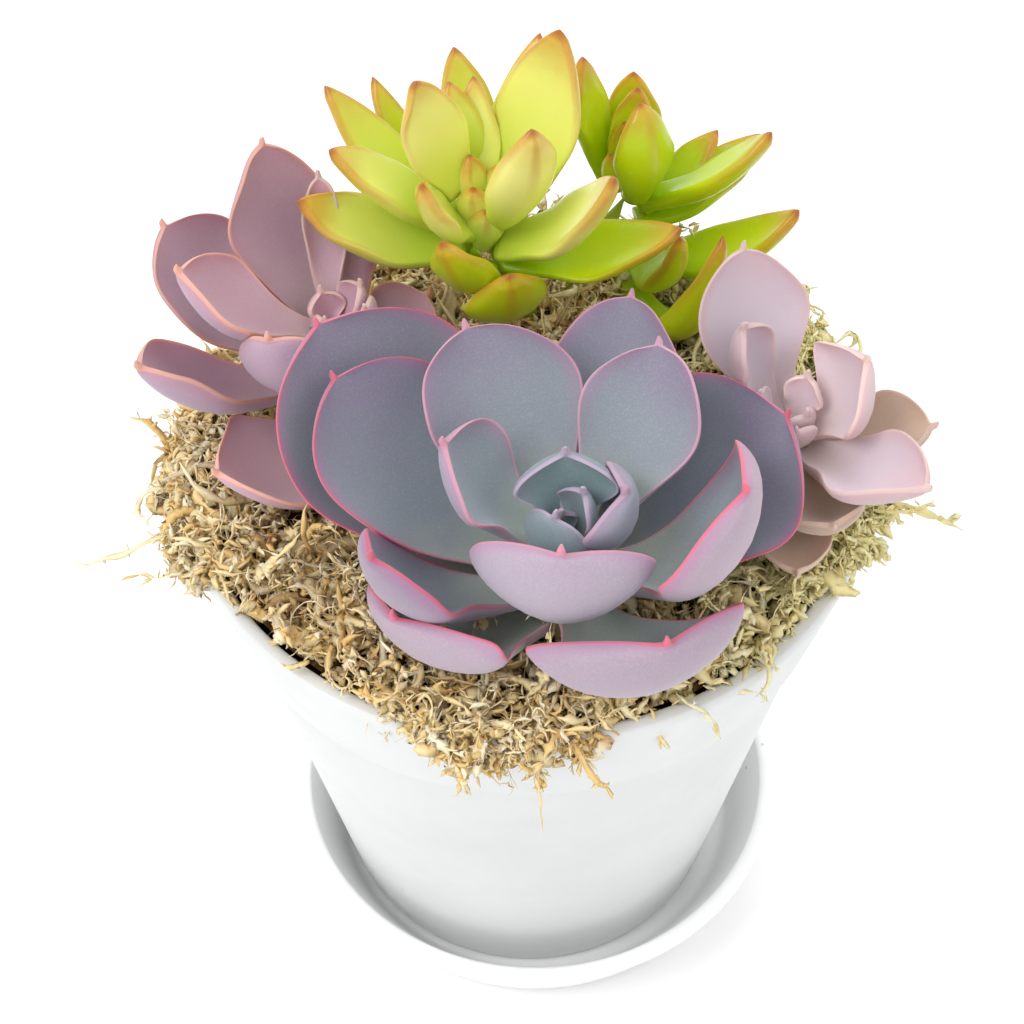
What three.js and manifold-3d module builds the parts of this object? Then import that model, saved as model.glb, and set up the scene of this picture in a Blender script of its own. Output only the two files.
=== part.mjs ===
// A succulent arrangement in a white pot on a saucer: a blue echeveria in front, a mauve one on the left,
// a pink one on the right and a golden sedum with two heads behind, in soil dressed with dried moss.
// Millimetres, +Z up. The origin is the centre of the saucer's underside; the front of the pot faces -Y.

import * as THREE from 'three';
import { mergeVertices } from 'three/addons/utils/BufferGeometryUtils.js';
import Module from 'manifold-3d';

const wasm = await Module();
wasm.setup();

// Driving dimensions
const GAP = 0.3;                    // air between two pieces that touch
const ROUND_STEPS = 48;             // facets round the pot, the saucer and the soil
const POT = { rim: 70, height: 130.3, foot: 43.3, wall: 4, collar: 26.7, ledge: 1.6, floor: 5.5, drain: 6 };
const POT_SHIFT = -1.6;             // the pot stands a little to the left in its saucer
const SAUCER = { rim: 58.4, height: 22.2, foot: 48.5, floor: 4.7, lip: 4 };
const SOIL_DEPTH = 11;              // the soil's edge below the rim
const SOIL_DOME = 3;                // how much the soil rises from its edge to its middle
const MOSS_CREST = 4;               // the moss above the rim, halfway out
const STEM_SOCKET = 14;             // how deep the stems stand below the soil's edge

const SIDE_GAP = GAP + 0.1;         // a little more beside faceted walls
const POT_BOTTOM = SAUCER.floor + GAP;
const RIM_TOP = POT_BOTTOM + POT.height;
const SOIL_EDGE = RIM_TOP - SOIL_DEPTH;
const BODY_TOP = RIM_TOP - POT.collar;
const COLLAR_FOOT = POT.rim - 5.9;      // the collar leans out by 5.9 to the rim
const BODY_RIM = COLLAR_FOOT - POT.ledge;
const BODY_FOOT = POT.foot + 1.5;       // the body's slant meets the bevelled foot here
const INSIDE_BEND = BODY_TOP - 3;       // the height where the pot's inside widens into the collar

const radians = (degrees) => (degrees * Math.PI) / 180;
const blend = (from, to, part) => from + (to - from) * part;
const smooth = (part) => part * part * (3 - 2 * part);

// A material of its own for each piece.
const finish = (color, roughness) => new THREE.MeshStandardMaterial({ color, roughness, metalness: 0 });

// ---------------------------------------------------------------- solids

function meshToSolid(geometry) {
  const bare = geometry.clone();
  bare.deleteAttribute('normal');
  bare.deleteAttribute('uv');
  const merged = mergeVertices(bare, 1e-4);
  const mesh = new wasm.Mesh({
    numProp: 3,
    vertProperties: new Float32Array(merged.attributes.position.array),
    triVerts: new Uint32Array(merged.index.array),
  });
  return new wasm.Manifold(mesh);
}

function solidToGeometry(solid) {
  const mesh = solid.getMesh();
  const geometry = new THREE.BufferGeometry();
  geometry.setAttribute('position', new THREE.BufferAttribute(new Float32Array(mesh.vertProperties), 3));
  geometry.setIndex(new THREE.BufferAttribute(new Uint32Array(mesh.triVerts), 1));
  geometry.computeVertexNormals();
  return geometry;
}

function lathe(profile, around = ROUND_STEPS) {
  const points = profile.map(([r, z]) => new THREE.Vector2(r, z));
  const geometry = new THREE.LatheGeometry(points, around);
  geometry.rotateX(Math.PI / 2);
  return geometry;
}

function piece(name, geometry, material) {
  const mesh = new THREE.Mesh(geometry, material);
  mesh.name = name;
  return mesh;
}

// A skin over rings of points, closed by a pole at each end. Every ring runs the same way round.
function ringSkin(firstPole, rings, lastPole) {
  const around = rings[0].length;
  const points = [firstPole, ...rings.flat(), lastPole];
  const last = points.length - 1;
  const faces = [];
  for (let i = 0; i < around; i += 1) {
    const next = (i + 1) % around;
    faces.push(0, 1 + i, 1 + next);
    for (let ring = 0; ring < rings.length - 1; ring += 1) {
      const low = 1 + ring * around;
      const high = low + around;
      faces.push(low + i, high + next, low + next);
      faces.push(low + i, high + i, high + next);
    }
    faces.push(last - around + i, last, last - around + next);
  }
  const geometry = new THREE.BufferGeometry().setFromPoints(points);
  geometry.setIndex(faces);
  geometry.computeVertexNormals();
  return geometry;
}

// ---------------------------------------------------------------- pot, saucer, soil, moss

function saucerProfile() {
  const { rim, height, foot, floor, lip } = SAUCER;
  return [
    [0, 0], [foot, 0], [foot + 1.4, 1.6], [rim - 1.6, height - 4.4], [rim - 0.2, height - 2.6],
    [rim, height - 1.2], [rim - 0.8, height - 0.2], [rim - lip / 2, height], [rim - lip + 0.4, height - 0.5],
    [rim - lip, height - 1.6], [foot - 0.5, floor + 2.2], [foot - 1.6, floor + 0.6], [foot - 3.4, floor],
    [0, floor],
  ];
}

// The inside radius of the pot at height z: one slant below the collar, one beside it.
function potInside(z) {
  const low = POT_BOTTOM + POT.floor;
  const lowRadius = BODY_FOOT - POT.wall + 0.6;
  const bendRadius = BODY_RIM - POT.wall;
  const topRadius = POT.rim - POT.wall;
  if (z < INSIDE_BEND) return blend(lowRadius, bendRadius, (z - low) / (INSIDE_BEND - low));
  return blend(bendRadius, topRadius, (z - INSIDE_BEND) / (RIM_TOP - INSIDE_BEND));
}

function potProfile() {
  const low = POT_BOTTOM + POT.floor;
  const outside = [
    [POT.drain, POT_BOTTOM], [POT.foot, POT_BOTTOM], [POT.foot + 1, POT_BOTTOM + 1.2],
    [BODY_FOOT, POT_BOTTOM + 4], [BODY_RIM, BODY_TOP], [COLLAR_FOOT - 0.4, BODY_TOP],
    [COLLAR_FOOT, BODY_TOP + 0.8], [POT.rim - 0.1, RIM_TOP - 1.6], [POT.rim - 0.5, RIM_TOP - 0.4],
    [POT.rim - 1.3, RIM_TOP],
  ];
  const inside = [
    [POT.rim - POT.wall + 0.9, RIM_TOP], [POT.rim - POT.wall + 0.2, RIM_TOP - 0.7],
    [potInside(INSIDE_BEND), INSIDE_BEND], [potInside(low + 2), low + 2], [potInside(low) - 2, low],
    [POT.drain, low], [POT.drain, POT_BOTTOM],
  ];
  return [...outside, ...inside];
}

// A bumpy height between about -1.6 and 1.6, for what lies loose.
const clump = (x, y) => Math.sin(x * 0.21 + 1.3) * Math.cos(y * 0.17) + 0.6 * Math.sin(x * 0.43 + y * 0.37);

// Height of the soil's surface.
function soilTop(x, y) {
  const spread = Math.min(1, Math.hypot(x, y) / potInside(SOIL_EDGE));
  return SOIL_EDGE + (SOIL_DOME + 0.8 * clump(x, y)) * (1 - spread * spread);
}

function soilGeometry() {
  const low = POT_BOTTOM + POT.floor + GAP;
  const edge = potInside(SOIL_EDGE) - SIDE_GAP;
  const topRings = [0.66, 0.33, 0].map((part) => [edge * part, SOIL_EDGE + 1]);
  const profile = [
    [0, low], [potInside(low) - 2.4, low], [potInside(low + 3) - SIDE_GAP, low + 3],
    [potInside(INSIDE_BEND) - SIDE_GAP, INSIDE_BEND], [edge, SOIL_EDGE], ...topRings,
  ];
  const geometry = lathe(profile);
  const place = geometry.attributes.position;
  for (let i = 0; i < place.count; i += 1) {
    if (place.getZ(i) > SOIL_EDGE + 0.5) {
      place.setZ(i, soilTop(place.getX(i), place.getY(i)));
    }
  }
  return geometry;
}

// The moss is a blanket on the soil that laps over the rim in places. By bearing: how far it reaches past
// the rim (-1 where it stays inside) and how deep it hangs there.
const MOSS_EDGE = [
  [0, 6, 3], [20, 4, 2], [45, 0, 0], [120, 0, 0], [140, 2, 0], [160, 6, 3], [180, 8, 6], [198, 8, 8],
  [207, 2, 0], [216, -1, 0], [243, -1, 0], [252, 2, 0], [262, 5, 8], [272, 5, 8], [279, 2, 0], [288, -1, 0],
  [324, -1, 0], [333, 2, 0], [350, 7, 5],
];
const MOSS_STEPS = 40;
const MOSS_LIFT = 1;                // the moss's underside above the soil
const MOSS_MARGIN = 0.9;            // its side from the pot's wall, where it stays inside
const MOSS_ON_RIM = 0.4;            // its underside above the rim

function mossEdge(bearing) {
  const after = MOSS_EDGE.findIndex(([at]) => at > bearing);
  const to = after < 0 ? [360, ...MOSS_EDGE[0].slice(1)] : MOSS_EDGE[after];
  const from = MOSS_EDGE[(after < 0 ? MOSS_EDGE.length : after) - 1];
  const part = smooth((bearing - from[0]) / (to[0] - from[0]));
  return { reach: blend(from[1], to[1], part), drop: blend(from[2], to[2], part) };
}

// One radial section of the moss, from underneath out to the edge and back over the top.
function mossSection(bearing) {
  const { reach, drop } = mossEdge(bearing);
  const angle = radians(bearing);
  const at = (r, z) => new THREE.Vector3(r * Math.cos(angle), r * Math.sin(angle), z);
  const under = (r) => at(r, soilTop(r * Math.cos(angle), r * Math.sin(angle)) + MOSS_LIFT);
  const over = (r, rise) => {
    const point = at(r, RIM_TOP + rise);
    point.z += clump(point.x * 1.7, point.y * 1.7);
    return point;
  };
  const past = Math.max(0, reach);
  const hang = drop * Math.min(1, Math.max(0, reach - 2));
  const inside = POT.rim - POT.wall - MOSS_MARGIN;
  const edge = blend(inside, POT.rim + 0.6, Math.min(1, (reach + 1) / 2));
  const rim = RIM_TOP + MOSS_ON_RIM;
  return [
    under(24), under(48), at(potInside(SOIL_EDGE + 1) - MOSS_MARGIN, SOIL_EDGE + 1), at(inside, rim),
    at(edge, rim + 0.1), at(edge + 0.3, rim - hang * 0.9), at(edge + 1 + past * 0.8, rim + 0.1 - hang),
    at(edge + 1.6 + past, rim + 0.6 - hang * 0.4), over(65 + past * 0.6, MOSS_CREST - 1),
    over(58, MOSS_CREST), over(40, MOSS_CREST), over(20, MOSS_CREST - 1),
  ];
}

function mossGeometry() {
  const sections = [];
  for (let i = MOSS_STEPS; i > 0; i -= 1) {
    sections.push(mossSection((360 * i) / MOSS_STEPS));
  }
  const rings = sections[0].map((_, k) => sections.map((section) => section[k]));
  const low = new THREE.Vector3(0, 0, soilTop(0, 0) + MOSS_LIFT);
  const high = new THREE.Vector3(0, 0, RIM_TOP + MOSS_CREST - 2);
  return ringSkin(low, rings, high);
}

// ---------------------------------------------------------------- leaves

// What the leaves of one kind share, unless a leaf says otherwise.
// Along the leaf: stations are where its rings lie, widest is where it is widest, base its width at the stem
// as a part of the full width, and spine the length of its sharp tip. shoulder and blunt shape the outline
// from the widest place to the tip: a high shoulder keeps it broad for longer, a low blunt rounds its end.
// Across the leaf: thick is its thickness, crown the part of that above its middle surface, cup the angle
// that its margins curl up and roll its tilt.
// It leaves the stem at the height root and the angle leave, keeps that direction for the part run of its
// length, and bends to its tip; swing is how far off the tip's bearing it sets out.
const ECHEVERIA = {
  stations: [0, 0.17, 0.34, 0.52, 0.7, 0.82, 0.905, 0.955], widest: 0.7, base: 0.27, spine: 0.025,
  shoulder: 2.4, blunt: 0.5, crown: 0, thick: 3, cup: 40, leave: 20, run: 0.55, swing: 0, roll: 0, root: 4,
};
const SEDUM = {
  stations: [0, 0.14, 0.32, 0.5, 0.68, 0.84, 0.945], widest: 0.48, base: 0.5, spine: 0,
  shoulder: 1.9, blunt: 0.85, crown: 0.3, thick: 5, cup: 25, leave: 25, run: 0.5, swing: 0, roll: 0, root: 2,
};
const ACROSS = 0.58;                // where the ring's points lie between the middle and the margins
const SPINE_WIDTH = 0.8;            // half the width of an echeveria leaf's sharp tip, where it starts

function leafHalfWidth(kind, u) {
  if (u < kind.widest) return blend(kind.base, 1, smooth(u / kind.widest));
  const part = (u - kind.widest) / (1 - kind.spine - kind.widest);
  return (1 - part ** kind.shoulder) ** kind.blunt;
}

// The leaf's middle line: it leaves the stem at `leave` degrees and bends to its tip, which is given by its
// bearing (turn), its distance from the stem's axis (reach) and its height over the plant's seat (rise).
function leafSpine(leaf, stemRadius) {
  const turn = radians(leaf.turn);
  const start = radians(leaf.turn + leaf.swing);
  const leave = radians(leaf.leave);
  const out = new THREE.Vector3(Math.cos(start), Math.sin(start), 0);
  const up = new THREE.Vector3(0, 0, 1);
  const clear = SIDE_GAP + leaf.crown * leaf.thick * Math.sin(leave);
  const base = out.clone().multiplyScalar(stemRadius + clear).addScaledVector(up, leaf.root);
  const tip = new THREE.Vector3(leaf.reach * Math.cos(turn), leaf.reach * Math.sin(turn), leaf.rise);
  const run = leaf.run * base.distanceTo(tip);
  const bend = base.clone().addScaledVector(out, run * Math.cos(leave));
  bend.addScaledVector(up, run * Math.sin(leave));
  return new THREE.QuadraticBezierCurve3(base, bend, tip);
}

// The eight points round a leaf at one station: over the top from margin to margin, and back underneath.
function leafRing(leaf, spine, u, halfWidth, thick) {
  const middle = spine.getPointAt(u);
  const along = spine.getTangentAt(u);
  const turn = radians(leaf.turn + leaf.swing * (1 - u));
  const side = new THREE.Vector3(-Math.sin(turn), Math.cos(turn), 0);
  side.addScaledVector(along, -side.dot(along)).normalize();
  side.applyAxisAngle(along, radians(leaf.roll));
  const up = along.clone().cross(side);
  const cup = radians(leaf.cup);
  const point = (v, lift) => {
    const sideways = (halfWidth * Math.sin(cup * v)) / cup - lift * Math.sin(cup * v);
    const upward = (halfWidth * (1 - Math.cos(cup * v))) / cup + lift * Math.cos(cup * v);
    return middle.clone().addScaledVector(side, sideways).addScaledVector(up, upward);
  };
  const swell = (v) => thick * Math.sqrt(1 - v * v);
  const top = [-1, -ACROSS, 0, ACROSS, 1].map((v) => point(v, leaf.crown * swell(v)));
  const under = [ACROSS, 0, -ACROSS].map((v) => point(v, (leaf.crown - 1) * swell(v)));
  return [...top, ...under];
}

function leafGeometry(leaf, stemRadius) {
  const spine = leafSpine(leaf, stemRadius);
  const rings = leaf.stations.map((u) => {
    const part = leafHalfWidth(leaf, u);
    const thick = leaf.thick * blend(0.45, 1, part) * blend(1, 0.65, u);
    return leafRing(leaf, spine, u, (leaf.width / 2) * part, thick);
  });
  if (leaf.spine > 0) {
    rings.push(leafRing(leaf, spine, 1 - leaf.spine * 0.8, SPINE_WIDTH, SPINE_WIDTH));
  }
  return ringSkin(spine.getPointAt(0), rings, spine.getPointAt(1));
}

// ---------------------------------------------------------------- plants

// seat is where a plant's stem ends and its leaves' heights start; foot and neck are the stem's radius there
// and at its end, height above. from is where the stem leaves the soil.
const BLUE = { seat: [7, -44, 144], foot: 5.5, neck: 3.2, height: 24, from: [7, -40] };
const MAUVE = { seat: [-38, 12, 146], foot: 4.5, neck: 3, height: 20, from: [-34, 12] };
const PINK = { seat: [51, -12, 146], foot: 3.8, neck: 2.4, height: 16, from: [45, -10] };
const TALL = { seat: [-8, 30, 165], foot: 3.4, neck: 2.6, height: 16, from: [3, 37] };
const SIDE = { seat: [21, 46, 158], foot: 3, neck: 2.4, height: 16, from: [6, 39] };

// Each leaf: bearing, reach and rise of its tip, then what differs from its kind.
const BLUE_LEAVES = [
  { turn: 93, reach: 8, rise: 35, width: 22, root: 20, leave: 65, cup: 60 },
  { turn: 355, reach: 9, rise: 35, width: 22, root: 18, leave: 40, cup: 60, roll: -8 },
  { turn: 157, reach: 24, rise: 37, width: 26, root: 16, leave: 20, cup: 42, roll: 12 },
  { turn: 263, reach: 14, rise: 35, width: 39, root: 13, leave: 8, run: 0.76, cup: 56 },
  { turn: 60, reach: 34, rise: 41, width: 27, root: 15, leave: 28, run: 0.6, cup: 45, roll: 5, swing: -10 },
  { turn: 116, reach: 42, rise: 38, width: 37, root: 12, leave: 18, run: 0.57, cup: 43, roll: 5 },
  { turn: 352, reach: 30, rise: 39, width: 43, root: 9, leave: 2, run: 0.78, cup: 46, roll: -16 },
  { turn: 75, reach: 52, rise: 33, width: 31, root: 9.4, leave: 6, run: 0.6, cup: 38 },
  { turn: 30, reach: 48, rise: 27, width: 46, root: 4, leave: 1, run: 0.6, cup: 30, swing: 4 },
  { turn: 147, reach: 51, rise: 35, width: 39, root: 7.8, leave: 4, run: 0.59, cup: 30, roll: -3, swing: 2 },
  { turn: 140, reach: 60, rise: 38, width: 50, root: 1, leave: 4, run: 0.62, cup: 34, roll: -6 },
  { turn: 197, reach: 36, rise: 30, width: 26, root: 6.2, leave: 0, run: 0.79, cup: 46, roll: 18, swing: -1 },
  { turn: 202, reach: 34, rise: 16, width: 42, root: -1.3, leave: -2, run: 0.81, cup: 37, roll: 26, swing: 9 },
  { turn: 304, reach: 29, rise: 22, width: 50, root: 2, leave: -7, run: 0.87, cup: 50, roll: -14, swing: -6 },
];
const MAUVE_LEAVES = [
  { turn: 119, reach: 25, rise: 46, width: 27, root: 11, leave: 36, run: 0.58, cup: 36, roll: 8, swing: 8 },
  { turn: 156, reach: 36, rise: 32, width: 32, root: 7, leave: 14, run: 0.62, cup: 28, roll: 5, swing: 8 },
  { turn: 190, reach: 28, rise: 38, width: 23, root: 15, leave: 24, run: 0.62, cup: 58, roll: -6, swing: 4 },
  { turn: 236, reach: 19, rise: 31, width: 22, root: 11, leave: -4, run: 0.64, cup: 46, roll: 20, swing: 14 },
  { turn: 207, reach: 40, rise: 26, width: 22, root: 4, leave: 2, run: 0.6, cup: 60, roll: 6, swing: 2 },
  { turn: 236, reach: 39, rise: 11, width: 30, root: -3, leave: -4, run: 0.68, cup: 36, roll: -20, swing: 14 },
  { turn: 83, reach: 22, rise: 30, width: 14, root: 6, leave: 12, run: 0.6, cup: 40 },
  { turn: 38, reach: 24, rise: 12, width: 20, root: 1, leave: 12, cup: 30 },
];
const PINK_LEAVES = [
  { turn: 110, reach: 26, rise: 37, width: 27, root: 8, leave: 36, run: 0.6, cup: 26, roll: 4, swing: 7 },
  { turn: 142, reach: 12, rise: 32, width: 14, root: 12, leave: 35, run: 0.6, cup: 60, roll: 8 },
  { turn: 3, reach: 12, rise: 30, width: 27, root: 11, leave: 22, run: 0.5, cup: 50, roll: 8 },
  { turn: 350, reach: 27, rise: 17, width: 22, root: 5, leave: 14, run: 0.54, cup: 34, roll: 4 },
  { turn: 309, reach: 34, rise: 24, width: 24, root: 8, leave: 14, run: 0.54, cup: 62, roll: 6, swing: -4 },
  { turn: 281, reach: 27, rise: 14, width: 17, root: 3, leave: 0, run: 0.6, cup: 34 },
  { turn: 268, reach: 30, rise: 3, width: 16, root: -1, leave: 2, run: 0.6, cup: 30 },
];
const TALL_LEAVES = [
  { turn: 192, reach: 36, rise: 21, width: 16, root: 1.5, leave: 9, cup: 34, roll: -16, swing: -5 },
  { turn: 182, reach: 29, rise: 28, width: 14, root: 6.5, leave: 30, swing: -8 },
  { turn: 145, reach: 38, rise: 25, width: 13, root: -3, leave: 28, swing: -5 },
  { turn: 124, reach: 40, rise: 18, width: 10, root: -7, leave: 20 },
  { turn: 179, reach: 12, rise: 43, width: 15, root: 15.5, leave: 61, roll: -40, swing: -14, thick: 4 },
  { turn: 102, reach: 25, rise: 32, width: 13, root: 4, leave: 33, swing: -5 },
  { turn: 116, reach: 14, rise: 33, width: 9, root: 12, leave: 66, swing: -6 },
  { turn: 33, reach: 18, rise: 47, width: 20, root: 9, leave: 50, roll: 15, swing: 3 },
  { turn: 313, reach: 14, rise: 40, width: 15, root: 12, leave: 44, run: 0.42, cup: 30, roll: -14 },
  { turn: 226, reach: 16, rise: 28, width: 13, root: 9.5, leave: 34, run: 0.44, roll: -23 },
  { turn: 329, reach: 29, rise: 32, width: 16, root: 4.4, leave: 21, roll: 15, swing: 3 },
  { turn: 248, reach: 20, rise: 20, width: 13, root: 0, leave: 14, swing: 15 },
  { turn: 285, reach: 19, rise: 11, width: 18, root: -7, leave: -8, swing: 5 },
  { turn: 343, reach: 40, rise: 16, width: 15, root: 0, leave: 4, run: 0.59, roll: 11, swing: 3, thick: 4.4 },
];
const SIDE_LEAVES = [
  { turn: 131, reach: 13, rise: 35, width: 10, root: 10, leave: 54, roll: 7 },
  { turn: 82, reach: 15, rise: 27, width: 13, root: 5, leave: 34 },
  { turn: 302, reach: 4, rise: 34, width: 14, root: 11, leave: 61, cup: 33 },
  { turn: 344, reach: 29, rise: 30, width: 12, root: 7, leave: 22, roll: -9 },
  { turn: 23, reach: 21, rise: 17, width: 9, root: 3, leave: 24 },
  { turn: 22, reach: 31, rise: 13, width: 12, root: -1, leave: 5, roll: 5 },
  { turn: 303, reach: 19, rise: 10, width: 11, root: -6, leave: -14, run: 0.65, roll: 19 },
  { turn: 309, reach: 29, rise: 16, width: 10, root: -13, leave: -12, run: 0.79, roll: -14, swing: -18 },
  { turn: 348, reach: 36, rise: 9, width: 14, root: -10, leave: 3, run: 0.59, cup: 30, roll: 5 },
];

// The small leaves at a plant's heart, which grow together with the stem's end: a spiral of HEART_LEAVES.
const BLUE_HEART = { kind: ECHEVERIA, width: 10, reach: 2, rise: 31, start: 300 };
const MAUVE_HEART = { kind: ECHEVERIA, width: 8, reach: 2, rise: 26, start: 20 };
const PINK_HEART = { kind: ECHEVERIA, width: 7, reach: 2, rise: 24, start: 250 };
const TALL_HEART = { kind: SEDUM, width: 6, reach: 3, rise: 23, start: 250 };
const SIDE_HEART = { kind: SEDUM, width: 5, reach: 2, rise: 22, start: 200 };
const HEART_LEAVES = 3;
const GOLDEN_ANGLE = 137.5;
const STEM_FACETS = 14;
const BUD = { leave: 75, cup: 60, thick: 2, spine: 0, stations: [0, 0.35, 0.65, 0.88] };

// The stem's radius at a height over the plant's seat.
const stemRadius = (plant, height) => blend(plant.foot, plant.neck, Math.max(0, height / plant.height));

function heartSolid(plant, heart) {
  const top = plant.height;
  const cone = [[0, -1.5], [plant.foot, -1.5], [plant.foot, 0], [plant.neck, top], [0, top + 1]];
  let solid = meshToSolid(lathe(cone, STEM_FACETS));
  for (let i = 0; i < HEART_LEAVES; i += 1) {
    const turn = heart.start + GOLDEN_ANGLE * i;
    const tip = { turn, reach: heart.reach * (1 + 0.25 * i), rise: heart.rise - 1.5 * i };
    const leaf = { ...heart.kind, ...BUD, ...tip, width: heart.width, root: top - 2 };
    solid = solid.add(meshToSolid(leafGeometry(leaf, -2)));
  }
  return solid.translate(...plant.seat);
}

// A stem from its socket in the soil to the plant's seat, with `spare` added all round it.
function stemSolid(plant, spare) {
  const [x, y] = plant.from;
  const foot = new THREE.Vector3(x, y, SOIL_EDGE - STEM_SOCKET - spare);
  const bend = new THREE.Vector3(x, y, RIM_TOP);
  const path = new THREE.QuadraticBezierCurve3(foot, bend, new THREE.Vector3(...plant.seat));
  const round = new THREE.Shape();
  round.absarc(0, 0, plant.foot + spare, 0, 2 * Math.PI);
  const options = { steps: 5, curveSegments: STEM_FACETS / 2, extrudePath: path, bevelEnabled: false };
  return meshToSolid(new THREE.ExtrudeGeometry(round, options));
}

// A plant is one stem with one or two heads.
const PLANTS = [
  { name: 'blue', color: 0x93a0b4, heads: [{ plant: BLUE, leaves: BLUE_LEAVES, heart: BLUE_HEART }] },
  { name: 'mauve', color: 0xb293a8, heads: [{ plant: MAUVE, leaves: MAUVE_LEAVES, heart: MAUVE_HEART }] },
  { name: 'pink', color: 0xd0b2b4, heads: [{ plant: PINK, leaves: PINK_LEAVES, heart: PINK_HEART }] },
  {
    name: 'golden',
    color: 0xb9c53a,
    heads: [
      { plant: TALL, leaves: TALL_LEAVES, heart: TALL_HEART },
      { plant: SIDE, leaves: SIDE_LEAVES, heart: SIDE_HEART, mark: 'side_' },
    ],
  },
];

function leafPieces(name, color, { plant, leaves, heart, mark = '' }) {
  const crown = new THREE.Group();
  crown.position.set(...plant.seat);
  leaves.forEach((row, i) => {
    const leaf = { ...heart.kind, ...row };
    const geometry = leafGeometry(leaf, stemRadius(plant, leaf.root));
    crown.add(piece(`${name}_${mark}leaf_${i + 1}`, geometry, finish(color, 0.55)));
  });
  return crown;
}

// ---------------------------------------------------------------- the arrangement

const arrangement = new THREE.Group();
const potted = new THREE.Group();
potted.position.x = POT_SHIFT;
arrangement.add(piece('saucer', lathe(saucerProfile()), finish(0xf2f2f0, 0.45)));
arrangement.add(potted);
potted.add(piece('pot', lathe(potProfile()), finish(0xf4f4f2, 0.4)));

let soil = meshToSolid(soilGeometry());
let moss = meshToSolid(mossGeometry());
for (const { name, color, heads } of PLANTS) {
  let stem = null;
  for (const head of heads) {
    const socket = stemSolid(head.plant, SIDE_GAP);
    soil = soil.subtract(socket);
    moss = moss.subtract(socket);
    const shoot = stemSolid(head.plant, 0).add(heartSolid(head.plant, head.heart));
    stem = stem ? stem.add(shoot) : shoot;
    potted.add(leafPieces(name, color, head));
  }
  potted.add(piece(`${name}_stem`, solidToGeometry(stem), finish(color, 0.6)));
}
potted.add(piece('soil', solidToGeometry(soil), finish(0x3a2f27, 0.95)));
potted.add(piece('moss', solidToGeometry(moss), finish(0xc9b184, 0.95)));

export default arrangement;
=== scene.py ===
"""Looks for a succulent arrangement in a white pot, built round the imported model. Metres, +Z up."""

import math
from collections import namedtuple

import bpy
import numpy as np
from mathutils import Matrix, Vector
from mathutils.bvhtree import BVHTree


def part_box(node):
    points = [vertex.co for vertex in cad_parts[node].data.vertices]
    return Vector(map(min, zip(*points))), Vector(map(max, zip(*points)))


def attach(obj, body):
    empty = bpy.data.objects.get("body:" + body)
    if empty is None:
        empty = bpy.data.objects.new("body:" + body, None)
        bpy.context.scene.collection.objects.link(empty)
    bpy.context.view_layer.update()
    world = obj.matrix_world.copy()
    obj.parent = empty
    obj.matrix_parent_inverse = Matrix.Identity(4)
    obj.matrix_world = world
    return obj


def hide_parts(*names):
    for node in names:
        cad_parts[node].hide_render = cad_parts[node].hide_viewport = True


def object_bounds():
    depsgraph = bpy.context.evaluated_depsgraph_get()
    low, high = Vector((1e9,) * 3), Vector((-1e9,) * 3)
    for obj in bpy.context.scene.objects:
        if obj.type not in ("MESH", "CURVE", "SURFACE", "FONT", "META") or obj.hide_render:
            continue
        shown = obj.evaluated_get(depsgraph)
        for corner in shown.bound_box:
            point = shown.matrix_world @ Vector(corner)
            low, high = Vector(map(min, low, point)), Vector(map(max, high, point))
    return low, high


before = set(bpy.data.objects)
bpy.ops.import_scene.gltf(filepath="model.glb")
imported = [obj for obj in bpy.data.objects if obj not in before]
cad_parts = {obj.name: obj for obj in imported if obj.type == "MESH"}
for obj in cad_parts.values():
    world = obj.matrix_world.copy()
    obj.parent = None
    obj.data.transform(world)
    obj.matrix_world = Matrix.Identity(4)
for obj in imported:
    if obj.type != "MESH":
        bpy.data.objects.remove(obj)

CAD_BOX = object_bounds()
MM = 0.001
UP = np.array([0.0, 0.0, 1.0])

# ---- camera, floor and light

POT_LOW, POT_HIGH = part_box("pot")
POT_AXIS = (POT_LOW + POT_HIGH) / 2
RIM_HEIGHT = POT_HIGH.z

CAMERA_ELEVATION = math.radians(50.2)
CAMERA_ROLL = math.radians(-0.87)
CAMERA_DISTANCE = 0.450
CAMERA_AIM = Vector((POT_AXIS.x - 0.0031, 0, RIM_HEIGHT - 0.017))
CAMERA_LENS = 75.36


def placed(name, data):
    made = bpy.data.objects.new(name, data)
    bpy.context.scene.collection.objects.link(made)
    return made


def make_camera():
    forward = Vector((0, math.cos(CAMERA_ELEVATION), -math.sin(CAMERA_ELEVATION)))
    right = Vector((1, 0, 0))
    upward = right.cross(forward)
    tilted_right = math.cos(CAMERA_ROLL) * right + math.sin(CAMERA_ROLL) * upward
    tilted_up = math.cos(CAMERA_ROLL) * upward - math.sin(CAMERA_ROLL) * right
    turn = Matrix((tilted_right, tilted_up, -forward)).transposed()
    camera = placed("camera", bpy.data.cameras.new("camera"))
    camera.data.lens = CAMERA_LENS
    camera.data.clip_start = 0.01
    camera.matrix_world = Matrix.Translation(CAMERA_AIM - CAMERA_DISTANCE * forward) @ turn.to_4x4()
    bpy.context.scene.camera = camera


LIGHTS = {  # where each light stands, how wide it is and its watts
    "key": ((-0.60, -0.35, 0.95), 0.6, 4.8),
    "fill": ((0.70, -0.45, 0.85), 0.8, 1.2),
    "back": ((0.20, 0.80, 0.85), 0.7, 3.0),
}
LIGHTS_AIM = Vector((0, 0, 0.12))
SKY_STRENGTH = 0.90


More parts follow.
